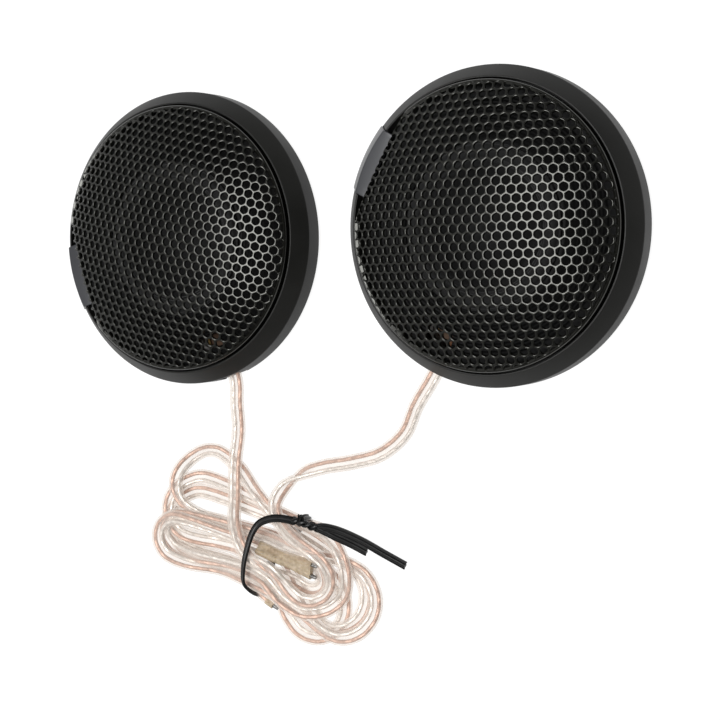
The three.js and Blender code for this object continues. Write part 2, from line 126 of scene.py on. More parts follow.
def add_camera():
    tilt = math.radians(CAMERA_TILT)
    heading = math.radians(CAMERA_HEADING)
    back = Vector((math.sin(tilt) * math.cos(heading), math.sin(tilt) * math.sin(heading), math.cos(tilt)))
    across = Vector((0, 1, 0)).cross(back).normalized()
    upward = back.cross(across)
    roll = math.radians(CAMERA_ROLL)
    right = math.cos(roll) * across + math.sin(roll) * upward
    up = math.cos(roll) * upward - math.sin(roll) * across
    data = bpy.data.cameras.new("camera")
    data.lens = CAMERA_LENS
    data.sensor_width = SENSOR
    data.clip_start = 0.01
    camera = add_object("camera", data)
    turn = Matrix((right, up, back)).transposed()
    place = (Vector(CAMERA_TARGET) + back * CAMERA_DISTANCE) * MM
    camera.matrix_world = Matrix.Translation(place) @ turn.to_4x4()
    bpy.context.scene.camera = camera


add_camera()


# ---- node materials ----
class Shader:
    """A small helper that builds one Principled material and its procedural inputs."""

    def __init__(self, name, **sockets):
        self.material = bpy.data.materials.new(name)
        self.material.use_nodes = True
        self.nodes = self.material.node_tree.nodes
        self.links = self.material.node_tree.links
        self.principled = self.nodes["Principled BSDF"]
        self.output = self.nodes["Material Output"]
        for socket, value in sockets.items():
            self.principled.inputs[socket.replace("_", " ")].default_value = value
        self.coordinates = self.nodes.new("ShaderNodeTexCoord").outputs["Object"]

    def node(self, kind, **inputs):
        node = self.nodes.new(kind)
        for name, value in inputs.items():
            socket = node.inputs[name.replace("_", " ")]
            if isinstance(value, bpy.types.NodeSocket):
                self.links.new(value, socket)
            else:
                socket.default_value = value
        return node

    def noise(self, scale, detail=3.0, roughness=0.55):
        sizes = {"Scale": scale, "Detail": detail, "Roughness": roughness}
        return self.node("ShaderNodeTexNoise", Vector=self.coordinates, **sizes).outputs["Fac"]

    def spread(self, value, low, high, from_low=0.3, from_high=0.7):
        node = self.node("ShaderNodeMapRange", Value=value, To_Min=low, To_Max=high)
        node.inputs["From Min"].default_value = from_low
        node.inputs["From Max"].default_value = from_high
        return node.outputs["Result"]

    def colour(self, value, dark, light, low=0.3, high=0.7):
        """Base colour that goes from dark to light as the value goes from low to high."""
        node = self.node("ShaderNodeValToRGB", Fac=value)
        for element, place, tone in zip(node.color_ramp.elements, (low, high), (dark, light)):
            element.position = place
            element.color = (*tone, 1)
        self.feed("Base Color", node.outputs["Color"])

    def feed(self, socket, value):
        self.links.new(value, self.principled.inputs[socket])

    def bump(self, height, strength=0.3, distance=0.05):
        node = self.node("ShaderNodeBump", Height=height, Strength=strength, Distance=distance * MM)
        self.links.new(node.outputs["Normal"], self.principled.inputs["Normal"])

    def see_through(self, density, tint):
        """Lets what is behind the surface through where it isn't dense."""
        clear = self.node("ShaderNodeBsdfTransparent", Color=(*tint, 1))
        mix = self.node("ShaderNodeMixShader", Fac=density)
        self.links.new(clear.outputs["BSDF"], mix.inputs[1])
        self.links.new(self.principled.outputs["BSDF"], mix.inputs[2])
        self.links.new(mix.outputs["Shader"], self.output.inputs["Surface"])


def grey(value):
    return (value, value, value)


def moulded_plastic(name, dark, light, roughness, grain=0.12, shine=0.5):
    """Matt moulded plastic: a fine spark-eroded grain, with cloudy handling marks in the gloss."""
    s = Shader(name, Roughness=roughness, IOR=1.5, Specular_IOR_Level=shine)
    cloud = s.noise(90.0, 4.0)
    s.colour(cloud, dark, light)
    s.feed("Roughness", s.spread(cloud, roughness - 0.05, roughness + 0.07))
    s.bump(s.noise(9000.0, 2.0), grain, 0.04)
    return s.material


def painted_steel():
    """Black powder coat on perforated steel: glossy, with orange-peel ripples and a faint cloudy tone."""
    s = Shader("grille_paint", IOR=1.55, Specular_Tint=(1.0, 1.0, 0.94, 1))
    peel = s.noise(1500.0, 3.0)
    cloud = s.noise(140.0, 4.0)
    s.colour(cloud, (0.003, 0.003, 0.0024), (0.006, 0.006, 0.005), high=0.72)
    s.feed("Roughness", s.spread(peel, 0.15, 0.23))
    s.bump(peel, 0.1, 0.04)
    return s.material


def brushed_metal(name, colour, roughness):
    s = Shader(name, Metallic=1.0, Roughness=roughness)
    tone = s.noise(400.0, 4.0)
    s.colour(tone, tuple(c * 0.72 for c in colour), colour)
    s.feed("Roughness", s.spread(tone, roughness - 0.08, roughness + 0.12))
    s.bump(s.noise(5200.0, 2.0), 0.25, 0.02)
    return s.material


def soft_rubber(name, colour, roughness=0.8):
    s = Shader(name, Roughness=roughness, Sheen_Weight=0.15, Sheen_Roughness=0.5)
    tone = s.noise(260.0, 3.0)
    s.colour(tone, tuple(c * 0.7 for c in colour), colour)
    s.bump(s.noise(7000.0, 2.0), 0.25, 0.03)
    return s.material


def diaphragm_film():
    """Thin dark polymer film, pressed into a dome: matt, with faint pressing ripples."""
    s = Shader("diaphragm_film", IOR=1.4, Specular_IOR_Level=0.25)
    tone = s.noise(220.0, 3.0)
    s.colour(tone, grey(0.004), grey(0.009))
    s.feed("Roughness", s.spread(tone, 0.6, 0.8))
    s.bump(tone, 0.2, 0.2)
    return s.material


def board_laminate():
    s = Shader("board_laminate", Roughness=0.6)
    weave = s.node("ShaderNodeTexWave", Vector=s.coordinates, Scale=900.0, Distortion=1.5).outputs["Fac"]
    tone = s.noise(300.0, 4.0)
    s.colour(tone, (0.05, 0.022, 0.008), (0.09, 0.042, 0.015))
    s.bump(weave, 0.12, 0.02)
    return s.material


def coil_winding():
    """Enamelled copper wire, one turn above another along the tweeter's axis."""
    s = Shader("coil_copper", Metallic=1.0, Coat_Weight=0.5, Coat_Roughness=0.1)
    wave = s.node("ShaderNodeTexWave", Vector=s.coordinates, Scale=2600.0)
    wave.bands_direction = "Z"
    turns = wave.outputs["Fac"]
    s.colour(turns, (0.22, 0.06, 0.02), (0.62, 0.24, 0.1), 0.2, 0.8)
    s.feed("Roughness", s.spread(s.noise(800.0), 0.2, 0.4))
    s.bump(turns, 0.6, 0.05)
    return s.material


def closed_cell_foam():
    s = Shader("pad_foam", Roughness=0.95, Sheen_Weight=0.2)
    cells = s.node("ShaderNodeTexVoronoi", Vector=s.coordinates, Scale=3200.0).outputs["Distance"]
    s.colour(cells, grey(0.008), grey(0.035), 0.05, 0.6)
    s.bump(cells, 0.8, 0.12)
    return s.material


def capacitor_sleeve():
    s = Shader("capacitor_case", Roughness=0.4, Coat_Weight=0.6, Coat_Roughness=0.2)
    tone = s.noise(500.0, 3.0)
    s.colour(tone, (0.08, 0.015, 0.006), (0.13, 0.03, 0.01))
    s.bump(tone, 0.25, 0.1)
    return s.material


def stranded_wire(name, dark, light, roughness, metallic=0.35):
    s = Shader(name, Metallic=metallic, Roughness=roughness)
    lay = s.noise(1400.0, 3.0)
    s.colour(lay, dark, light, high=0.68)
    s.feed("Roughness", s.spread(lay, roughness - 0.08, roughness + 0.1))
    s.bump(s.noise(4200.0, 2.0), 0.2, 0.03)
    return s.material


PVC_CLEAREST = 0.14
PVC_DENSEST = 0.72
PVC_PAINTED_GLOW = 0.32  # painted glow: emission that lifts the jacket's shaded creases and sides, though the vinyl is no lamp


def clear_pvc():
    """Soft clear vinyl: glossy, lightly milky, and denser where it is seen edge on, with a painted glow in
    its emission that lifts the shade in the hank's creases.
    """
    # painted glow: this emission stands in for light in the shaded creases between the leads
    painted_glow = {"Emission_Color": (1.0, 0.92, 0.86, 1), "Emission_Strength": PVC_PAINTED_GLOW}
    s = Shader("clear_pvc", IOR=1.48, Specular_IOR_Level=0.4, **painted_glow)
    haze = s.noise(320.0, 4.0)
    s.colour(haze, (0.48, 0.44, 0.4), (0.6, 0.56, 0.52))
    s.feed("Roughness", s.spread(haze, 0.2, 0.38))
    s.bump(s.noise(900.0, 3.0), 0.12, 0.1)
    facing = s.node("ShaderNodeLayerWeight", Blend=0.35).outputs["Facing"]
    density = s.spread(facing, PVC_CLEAREST, PVC_DENSEST, 0.0, 0.9)
    s.see_through(density, (0.985, 0.968, 0.952))
    return s.material


FROST_CLEAREST = 0.45
FROST_DENSEST = 0.95


def frosted_end():
    """The last stretch of jacket, yellowed and roughened where it was stripped and dipped."""
    s = Shader("frosted_jacket", Roughness=0.55, Subsurface_Weight=0.25, Subsurface_Scale=0.001)
    s.principled.inputs["Subsurface Radius"].default_value = (1.0, 0.8, 0.5)
    tone = s.noise(1300.0, 5.0, 0.7)
    s.colour(tone, (0.34, 0.265, 0.17), (0.56, 0.46, 0.34), 0.32, 0.68)
    s.bump(tone, 0.25, 0.1)
    density = s.spread(s.noise(700.0, 3.0, 0.6), FROST_CLEAREST, FROST_DENSEST)
    s.see_through(density, (0.95, 0.88, 0.76))
    return s.material


def tie_vinyl():
    s = Shader("tie_vinyl", IOR=1.5, Specular_IOR_Level=0.4)
    tone = s.noise(420.0, 3.0)
    s.colour(tone, grey(0.003), grey(0.006))
    s.feed("Roughness", s.spread(tone, 0.3, 0.42))
    s.bump(s.noise(2600.0, 2.0), 0.15, 0.04)
    return s.material


MADE_BY = {
    moulded_plastic: {
        "ring_plastic": ((0.007, 0.007, 0.0062), (0.0095, 0.0095, 0.0085), 0.46, 0.12, 0.26),
        "badge_plastic": ((0.030, 0.031, 0.035), (0.036, 0.037, 0.041), 0.34, 0.05),
        "inner_plastic": (grey(0.003), grey(0.005), 0.5, 0.1, 0.12),
    },
    soft_rubber: {
        "surround_rubber": (grey(0.006),),
        "former_paper": ((0.30, 0.17, 0.07), 0.75),
        "grommet_rubber": (grey(0.014), 0.7),
    },
    brushed_metal: {
        "plated_steel": ((0.62, 0.63, 0.64), 0.32),
        "magnet_metal": ((0.42, 0.42, 0.44), 0.36),
        # brass darkened far below brass: painted shade, for the terminals lying in shade under the grille
        "terminal_brass": ((0.3, 0.2, 0.08), 0.5),
        "screw_steel": ((0.5, 0.5, 0.52), 0.3),
    },
    stranded_wire: {
        "copper_core": ((0.4, 0.25, 0.19), (0.68, 0.46, 0.36), 0.4),
        "tinned_core": ((0.6, 0.57, 0.53), (0.85, 0.81, 0.77), 0.36),
        # the inner leads' copper and tin darkened nearly to black: painted shade, for their place in shade
        # under the grille
        "inner_copper_painted_shade": ((0.16, 0.07, 0.035), (0.3, 0.15, 0.08), 0.45),
        "inner_tinned_painted_shade": ((0.02, 0.018, 0.016), (0.045, 0.04, 0.036), 0.5),
        "solder_tip": ((0.1, 0.095, 0.09), (0.26, 0.25, 0.24), 0.45, 0.6),
    },
}
materials = {name: make(name, *values) for make, rows in MADE_BY.items() for name, values in rows.items()}
materials.update({
    "grille_steel": painted_steel(),
    "diaphragm_film": diaphragm_film(),
    "coil_copper": coil_winding(),
    "board_laminate": board_laminate(),
    "clear_cord": clear_pvc(),
    "capacitor_case": capacitor_sleeve(),
    "pad_foam": closed_cell_foam(),
    "tie_vinyl": tie_vinyl(),
    "frosted_jacket": frosted_end(),
})


# ---- mesh helpers ----
def piece(name, shape, material, sharp=35):
    """A smooth-shaded object from a shape, which is points in millimetres and faces."""
    vertices, faces = shape
    mesh = bpy.data.meshes.new(name)
    mesh.from_pydata([tuple(float(c) * MM for c in v) for v in vertices], [], faces)
    mesh.materials.append(materials[material])
    obj = add_object(name, mesh)
    finish_mesh(mesh, sharp)
    return obj


def join_and_face_outward(mesh):
    bm = bmesh.new()
    bm.from_mesh(mesh)
    bmesh.ops.remove_doubles(bm, verts=bm.verts, dist=0.001 * MM)
    bmesh.ops.recalc_face_normals(bm, faces=bm.faces)
    bm.to_mesh(mesh)
    bm.free()


def finish_mesh(mesh, sharp=35):
    join_and_face_outward(mesh)
    mesh.polygons.foreach_set("use_smooth", [True] * len(mesh.polygons))
    mesh.set_sharp_from_angle(angle=math.radians(sharp))


def fillet(corners, radius, steps=4):
    """A closed outline with every corner rounded; radius may be one number or one for each corner."""
    count = len(corners)
    radii = radius if isinstance(radius, (list, tuple)) else [radius] * count
    out = []
    for i, corner in enumerate(corners):
        here = np.array(corner, float)
        before = np.array(corners[i - 1], float) - here
        after = np.array(corners[(i + 1) % count], float) - here
        limit = 0.45 * min(np.linalg.norm(before), np.linalg.norm(after))
        before /= np.linalg.norm(before)
        after /= np.linalg.norm(after)
        half = math.acos(max(-1.0, min(1.0, float(before @ after)))) / 2
        back = min(radii[i] / math.tan(half), limit) if radii[i] > 0 else 0
        if back <= 0:
            out.append(tuple(here))
            continue
        for k in range(steps + 1):
            t = k / steps
            start, end = here + before * back, here + after * back
            point = (1 - t) ** 2 * start + 2 * t * (1 - t) * here + t**2 * end
            out.append(tuple(point))
    return out


def lathe(outline, segments):
    """Turns a closed outline of (radius, z) about Z. Points on the axis become one vertex."""
    vertices, rings = [], []
    for r, z in outline:
        if r < 1e-6:
            rings.append([len(vertices)] * segments)
            vertices.append((0, 0, z))
            continue
        rings.append(list(range(len(vertices), len(vertices) + segments)))
        angles = (2 * math.pi * k / segments for k in range(segments))
        vertices += [(r * math.cos(a), r * math.sin(a), z) for a in angles]
    faces = []
    for i, ring in enumerate(rings):
        above = rings[(i + 1) % len(rings)]
        if ring[0] == ring[1] and above[0] == above[1]:
            continue
        for k in range(segments):
            n = (k + 1) % segments
            corners = [ring[k], ring[n], above[n], above[k]]
            faces.append(list(dict.fromkeys(corners)))
    return vertices, faces


def ring_skin(rings, count):
    """Faces over a run of rings of count points each, with both ends closed."""
    faces = []
    for i in range(rings - 1):
        for k in range(count):
            n = (k + 1) % count
            faces.append([i * count + k, i * count + n, (i + 1) * count + n, (i + 1) * count + k])
    return faces + [list(range(count)), list(range((rings - 1) * count, rings * count))]


def rounded_box(low, high, radius, steps=3):
    """An upright box with rounded corners, as rings of a rounded outline."""
    (x0, y0, z0), (x1, y1, z1) = low, high
    levels = []
    for k in range(steps + 1):
        a = math.pi / 2 * k / steps
        levels.append((radius * (1 - math.sin(a)), z0 + radius * (1 - math.cos(a))))
    levels += [(inset, z1 + z0 - z) for inset, z in reversed(levels)]
    vertices = []
    for inset, z in levels:
        left, front, right, back = x0 + inset, y0 + inset, x1 - inset, y1 - inset
        corners = [(left, front), (right, front), (right, back), (left, back)]
        vertices += [(x, y, z) for x, y in fillet(corners, radius, steps)]
    return vertices, ring_skin(len(levels), len(vertices) // len(levels))


def turned(shape, angle, radius=0.0):
    """Moves a shape out along +X, then turns it about Z."""
    vertices, faces = shape
    c, s = math.cos(math.radians(angle)), math.sin(math.radians(angle))
    return [((x + radius) * c - y * s, (x + radius) * s + y * c, z) for x, y, z in vertices], faces


def carve(obj, cutters, operation="DIFFERENCE"):
    """Cuts obj with closed shapes given as (vertices, faces) in millimetres."""
    for vertices, faces in cutters:
        mesh = bpy.data.meshes.new("cutter")
        mesh.from_pydata([tuple(c * MM for c in v) for v in vertices], [], faces)
        join_and_face_outward(mesh)
        cutter = add_object("cutter", mesh)
        cutter.matrix_world = obj.matrix_world
        modifier = obj.modifiers.new("carve", "BOOLEAN")
        modifier.operation = operation
        modifier.solver = "EXACT"
        modifier.object = cutter
        apply_modifiers(obj)
        bpy.data.objects.remove(cutter)
    finish_mesh(obj.data)


def apply_modifiers(obj):
    graph = bpy.context.evaluated_depsgraph_get()
    mesh = bpy.data.meshes.new_from_object(obj.evaluated_get(graph))
    obj.modifiers.clear()
    old = obj.data
    obj.data = mesh
    bpy.data.meshes.remove(old)


# ---- where each tweeter stands, from the frame ----
def middle(node):
    low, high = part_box(node)
    return (Vector(low) + Vector(high)) / 2


def tweeter_place(side):
    """The tweeter's axis on the floor and its turn about that axis, in metres and radians."""
    axis = middle(f"{side}_back_cover")
    exit_way = middle(f"{side}_lead_grommet") - axis
    turn = math.atan2(exit_way.y, exit_way.x) - math.radians(LEAD_ANGLE)
    return Matrix.Translation((axis.x, axis.y, 0)) @ Matrix.Rotation(turn, 4, "Z")


places = {side: tweeter_place(side) for side in SIDES}


def settle(obj, side, body, *nodes):
    """Puts a piece made in a tweeter's own frame in its place, on its body, standing for its nodes."""
    obj.data.transform(places[side])
    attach(obj, body)
    if nodes:
        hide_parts(*[f"{side}_{node}" for node in nodes])
    return obj


# ---- ring ----
ring_top = (LIP_R + LIP_LAND, LIP_Z)
chamfer_foot = (OUTER_R, WALL_TOP_Z)
chamfer_run = np.array(chamfer_foot) - np.array(ring_top)
chamfer_out = np.array([-chamfer_run[1], chamfer_run[0]]) / np.linalg.norm(chamfer_run)


def off_chamfer(point, distance):
    return tuple(np.array(point) + chamfer_out * distance)


def lead_notch(low_z, radius):
    low, high = (NOTCH_INNER_R, -NOTCH_WIDTH / 2, low_z), (OUTER_R + 1, NOTCH_WIDTH / 2, NOTCH_TOP_Z)
    return turned(rounded_box(low, high, radius), LEAD_ANGLE)


def bezel_ring(side):
    outline = fillet([
        (COVER_R + GAP, RING_FOOT_Z),
        (OUTER_R - 0.2, RING_FOOT_Z),
        (OUTER_R, RING_FOOT_Z + 0.5),
        chamfer_foot,
        ring_top,
        (LIP_R, LIP_Z),
        (LIP_R - 0.05, LEDGE_Z),
        (CAVITY_R, LEDGE_Z),
        (CAVITY_R, COVER_SEAT_Z),
        (COVER_R + GAP, COVER_SEAT_Z),
    ], [0.1, 0.25, 0.3, 0.45, 0.14, 0.1, 0.1, 0.1, 0.1, 0.1], 5)
    obj = piece(f"{side}_ring", lathe(outline, RING_SEGMENTS), "ring_plastic")
    carve(obj, [badge_shape(GAP / 2, 0.0), lead_notch(-1, 0.4)])
    inner, outer = SCREW_SHANK_R, SCREW_BOSS_R
    boss = [(inner, COVER_SEAT_Z), (outer, COVER_SEAT_Z), (outer, LEDGE_Z), (inner, LEDGE_Z)]
    shape = lathe(fillet(boss, 0.1, 2), SMALL_SEGMENTS)
    for angle in SCREW_ANGLES:
        carve(obj, [turned(shape, angle, SCREW_CIRCLE_R)], "UNION")
    settle(obj, side, "housings", "bezel_ring")


# ---- badge plate ----
BADGE_STEPS = 28
BADGE_STRAIGHT = 1.2  # how far out the plate's straight inner edge takes to become the ring's curve


def badge_shape(grow, round_off):
    """The plate over the lip and chamfer: one outline carried across it, drawn in at both ends."""
    inner = BADGE_INNER - grow
    outer, under = BADGE_PROUD + grow, BADGE_PROUD - BADGE_SHEET - grow
    outline = fillet([
        (inner, LIP_Z + outer),
        (off_chamfer(ring_top, outer)[0], LIP_Z + outer),
        off_chamfer(chamfer_foot, outer),
        off_chamfer(chamfer_foot, under),
        off_chamfer(ring_top, under),
        (inner, LIP_Z + under),
    ], [0.18, 0.35, 0.18, 0.1, 0.2, 0.1], 5)
    centre = np.mean(np.array(outline), axis=0)
    half = BADGE_HALF + grow
    across = [half * (2 * k / BADGE_STEPS - 1) for k in range(BADGE_STEPS + 1)]
    draws = [0.0] * len(across)
    if round_off:
        turns = np.linspace(0, math.pi / 2, 5)
        rim = [(round_off * (1 - math.sin(a)), round_off * (1 - math.cos(a))) for a in turns]
        middle_run = [y for y in across if abs(y) < half - round_off]
        across = [-half + out for _, out in rim] + middle_run + [half - out for _, out in reversed(rim)]
        draws = [draw for draw, _ in rim] + [0.0] * len(middle_run) + [draw for draw, _ in reversed(rim)]
    vertices = []
    for y, draw in zip(across, draws):
        for point in outline:
            away = np.array(point) - centre
            r, z = centre + away * max(0.0, 1 - draw / np.linalg.norm(away))
            blend = min(1.0, max(0.0, (r - BADGE_INNER) / BADGE_STRAIGHT))
            bow = r - math.sqrt(max(r**2 - y**2, 0.0))
            vertices.append((-(r - bow * blend), y, z))
    return vertices, ring_skin(len(across), len(outline))


def badge_plate(side):
    obj = piece(f"{side}_badge", badge_shape(0.0, 0.16), "badge_plastic")
    settle(obj, side, "housings", "badge_plate")


# ---- grille ----
HOLE_PITCH = 1.6
HOLE_ACROSS = 1.2  # between opposite flats of a hole's straight wall
HOLE_SOFTNESS = 9.0  # the power of the rounded hexagon: higher is sharper
HOLE_ROLL = 0.14  # radius that the punch leaves on a hole's outer edge
HOLE_POINTS = 18
GRILLE_SHARP = 50  # edges that turn more than this stay crisp, in degrees
# The hole nearest the dome's middle, in the flat sheet.
FIRST_HOLE = {"left": (0.27, -0.39), "right": (-0.68, -0.78)}
CROWN_R = 22.5
CROWN_POINTS = 400
FOLD_BEND = 0.45
CROWN_SLOPES = ((0.3799, 1), (0.0696, 3), (0.2074, 11))  # slope terms, each a factor and a power


def crown_height(r):
    t = r / CROWN_R
    return GRILLE_EDGE_Z + CROWN_R * sum(k / (p + 1) * (1 - t ** (p + 1)) for k, p in CROWN_SLOPES)


def sheet_curve():
    """The drawn sheet's section: distance along it, radius, z, and where its edge starts to fold."""
    r = np.linspace(0, CROWN_R - 0.25, CROWN_POINTS)
    z = crown_height(r)
    scale = GRILLE_RISE / (crown_height(0.0) - GRILLE_EDGE_Z)
    z = GRILLE_EDGE_Z + (z - GRILLE_EDGE_Z) * scale
    slope = math.atan2(z[-2] - z[-1], r[-1] - r[-2])
    angles = np.linspace(slope, math.pi / 2, 12)[1:]
    bend_r = r[-1] + FOLD_BEND * (np.sin(angles) - math.sin(slope))
    bend_z = z[-1] - FOLD_BEND * (math.cos(slope) - np.cos(angles))
    skirt_z = np.linspace(bend_z[-1], bend_z[-1] - GRILLE_SKIRT, 12)[1:]
    r = np.concatenate([r, bend_r, np.full(len(skirt_z), bend_r[-1])])
    z = np.concatenate([z, bend_z, skirt_z])
    along = np.concatenate([[0], np.cumsum(np.hypot(np.diff(r), np.diff(z)))])
    return along, r, z, CROWN_POINTS - 2


def on_sheet(flat, depth, curve):
    """Lays points of the flat sheet on the drawn one, at a depth below its outer face."""
    along, curve_r, curve_z, fold = curve
    distance = np.minimum(np.hypot(flat[:, 0], flat[:, 1]), along[fold])
    angle = np.arctan2(flat[:, 1], flat[:, 0])
    r = np.interp(distance, along, curve_r)
    z = np.interp(distance, along, curve_z)
    slope = np.clip((np.interp(distance + 0.05, along, curve_z) - z) / 0.05, -1, 0)
    r = r + slope * depth
    z = z - np.sqrt(1 - slope**2) * depth
    return np.column_stack([r * np.cos(angle), r * np.sin(angle), z])


def hole_outline(grow):
    """A rounded hexagon, grown evenly."""
    angles = np.arange(HOLE_POINTS) * 2 * math.pi / HOLE_POINTS
    flats = np.radians(30 + 60 * np.arange(6))
    facing = np.maximum(0, np.cos(angles[:, None] - flats[None]))
    radius = (HOLE_ACROSS / 2 + grow) * (facing**HOLE_SOFTNESS).sum(axis=1) ** (-1 / HOLE_SOFTNESS)
    return np.column_stack([radius * np.cos(angles), radius * np.sin(angles)])


def cell_outline():
    """The lattice cell's outline, with its points shared exactly by the cells around it."""
    corners = np.radians(60 * np.arange(7))
    corners = np.column_stack([np.cos(corners), np.sin(corners)]) * HOLE_PITCH / math.sqrt(3)
    split = HOLE_POINTS // 6
    sides = zip(corners, corners[1:])
    return np.array([start + (end - start) * i / split for start, end in sides for i in range(split)])


def grille(side):
    curve = sheet_curve()
    along, r, z, fold = curve
    reach = along[fold]
    first = np.array(FIRST_HOLE[side])
    rows = [np.array([math.cos(a), math.sin(a)]) * HOLE_PITCH for a in (math.radians(30), math.radians(90))]
    count = int(reach / HOLE_PITCH * 1.4)
    span = range(-count, count + 1)
    centres = [first + i * rows[0] + j * rows[1] for i in span for j in span]
    centres = [c for c in centres if np.hypot(*c) < reach + FOLD_BEND]
    web = cell_outline()
    rings = [(web, 0.0)]
    for a in np.radians([0, 30, 60, 90]):
        rings.append((hole_outline(HOLE_ROLL * (1 - math.sin(a))), HOLE_ROLL * (1 - math.cos(a))))
    rings += [(hole_outline(0), GRILLE_SHEET), (web, GRILLE_SHEET)]
    vertices, faces = [], []
    for centre in centres:
        for outline, depth in rings:
            vertices.append(on_sheet(outline + centre, depth, curve))
    for i in range(len(vertices)):
        if i % len(rings) == len(rings) - 1:
            continue
        a, b = i * HOLE_POINTS, (i + 1) * HOLE_POINTS
        for k in range(HOLE_POINTS):
            n = (k + 1) % HOLE_POINTS
            faces.append([a + k, a + n, b + n, b + k])
    shape = np.vstack(vertices), faces
    obj = piece(f"{side}_grille_sheet", shape, "grille_steel", sharp=GRILLE_SHARP)
    cut_at_badge(obj)
    settle(obj, side, "housings", "grille")
    outer = [(r[k], z[k]) for k in range(fold, len(r))]
    inner = [(x - GRILLE_SHEET * 0.9, y - GRILLE_SHEET * 0.35) for x, y in outer]
    inner[-1] = (inner[-1][0], outer[-1][1])
    shape = lathe(outer + inner[::-1], RING_SEGMENTS)
    rim = piece(f"{side}_grille_fold", shape, "grille_steel", sharp=GRILLE_SHARP)
    cut_at_badge(rim)
    settle(rim, side, "housings", "grille")


def cut_at_badge(obj):
    bm = bmesh.new()
    bm.from_mesh(obj.data)
    cut = bmesh.ops.bisect_plane(
        bm,
        geom=bm.verts[:] + bm.edges[:] + bm.faces[:],
        plane_co=(-GRILLE_CHORD * MM, 0, 0),
        plane_no=(-1, 0, 0),
        clear_outer=True,
    )
    edges = [item for item in cut["geom_cut"] if isinstance(item, bmesh.types.BMEdge)]
    bmesh.ops.holes_fill(bm, edges=edges, sides=0)
    bm.to_mesh(obj.data)
    bm.free()
    obj.data.set_sharp_from_angle(angle=math.radians(GRILLE_SHARP))


# ---- driver, seen through the holes ----
FACEPLATE_BORE_R = 11.0
FACEPLATE_BROW_Z = 6.95
WINDOW_INNER_R = 17.6
WINDOW_OUTER_R = 20.0
WINDOW_HALF = 2.4
FACEPLATE_EDGE_Z = 5.35
FACEPLATE_UNDER_Z = 4.9
FACEPLATE_SEAT_Z = (5.8, 6.4)  # the land that the surround is glued to, from below and above
RIBS = 12
RIB_DEPTH = 0.12


def faceplate(side):
    edge_r = LIP_R - 0.45
    brow_r = SURROUND_OUTER_R + GAP
    fall = FACEPLATE_BROW_Z - FACEPLATE_EDGE_Z
    slope = []
    for k in range(2 * RIBS + 1):
        t = k / (2 * RIBS)
        z = FACEPLATE_BROW_Z - fall * t**1.3 - RIB_DEPTH * (k % 2)
        slope.append((brow_r + 0.2 + (edge_r - 2.2 - brow_r) * t, z))
    low, high = FACEPLATE_SEAT_Z
    outline = fillet([
        (FACEPLATE_BORE_R, low),
        (brow_r + 0.3, low),
        (brow_r + 1.2, FACEPLATE_UNDER_Z),
        (edge_r, FACEPLATE_UNDER_Z),
        (edge_r, FACEPLATE_EDGE_Z),
    ], 0.15, 3)
    outline += slope[::-1] + [(brow_r, FACEPLATE_BROW_Z), (brow_r, high), (FACEPLATE_BORE_R, high)]
    obj = piece(f"{side}_baffle", lathe(outline, MID_SEGMENTS), "inner_plastic")
    window = rounded_box((WINDOW_INNER_R, -WINDOW_HALF, 4), (WINDOW_OUTER_R, WINDOW_HALF, 7), 0.5)
    carve(obj, [turned(window, LEAD_ANGLE)])
    settle(obj, side, "housings", "faceplate")


def dome_diaphragm(side):
    radius = DOME_R - 0.6
    sphere = (radius**2 + DOME_RISE**2) / (2 * DOME_RISE)
    half = math.asin(radius / sphere)
    top = DOME_BASE_Z + DOME_SHEET
    centre_z = top + DOME_RISE - sphere
    angles = [half * k / 16 for k in range(17)]
    crown = [(sphere * math.sin(a), centre_z + sphere * math.cos(a)) for a in angles]
    flange = [(DOME_R - 0.45, top), (DOME_R, top), (DOME_R, DOME_BASE_Z)]
    under = [(r, z - DOME_SHEET) for r, z in reversed(crown)]
    shape = lathe(crown + flange + under, MID_SEGMENTS)
    obj = piece(f"{side}_dome_skin", shape, "diaphragm_film")
    settle(obj, side, f"{side}_dome", "dome_diaphragm")


FLANGE_R = 9.7  # the surround's inner flange, glued under the dome's rim


def surround_roll(side):
    centre = (SURROUND_INNER_R + SURROUND_OUTER_R) / 2
    half = (SURROUND_OUTER_R - SURROUND_INNER_R) / 2 - 0.3
    top = DOME_BASE_Z + DOME_SHEET
    angles = [math.pi * k / 16 for k in range(17)]
    roll = [(centre - half * math.cos(a), top + SURROUND_ROLL * math.sin(a)) for a in angles]
    upper = [(SURROUND_INNER_R, top)] + roll + [(SURROUND_OUTER_R, top)]
    lower = [(r, z - DOME_SHEET) for r, z in reversed(upper)]
    glue_z = DOME_BASE_Z - 0.03
    lower += [(FLANGE_R, DOME_BASE_Z - DOME_SHEET), (FLANGE_R, glue_z), (SURROUND_INNER_R - 0.2, glue_z)]
    obj = piece(f"{side}_roll", lathe(upper + lower, MID_SEGMENTS), "surround_rubber")
    settle(obj, side, f"{side}_dome", "surround")


# ---- back ----
def back_cover(side):
    top = COVER_SEAT_Z - GAP
    outline = fillet([
        (0, PAD_SEAT_Z), (PAD_RECESS_R, PAD_SEAT_Z), (PAD_RECESS_R, COVER_UNDER_Z),
        (COVER_R, COVER_UNDER_Z), (COVER_R, top), (0, top),
    ], [0, 0.1, 0.15, 0.2, 0.1, 0], 4)
    obj = piece(f"{side}_rear_plate", lathe(outline, RING_SEGMENTS), "inner_plastic")
    cutters = [lead_notch(NOTCH_WEB_Z, 0.3)]
    for angle in SCREW_ANGLES:
        for radius, height in ((SCREW_HEAD_R + GAP, HEAD_SEAT_Z), (SCREW_SHANK_R + GAP, COVER_SEAT_Z)):
            hole = lathe([(0, 0), (radius, 0), (radius, height), (0, height)], SMALL_SEGMENTS)
            cutters.append(turned(hole, angle, SCREW_CIRCLE_R))
    carve(obj, cutters)
    settle(obj, side, "housings", "back_cover")


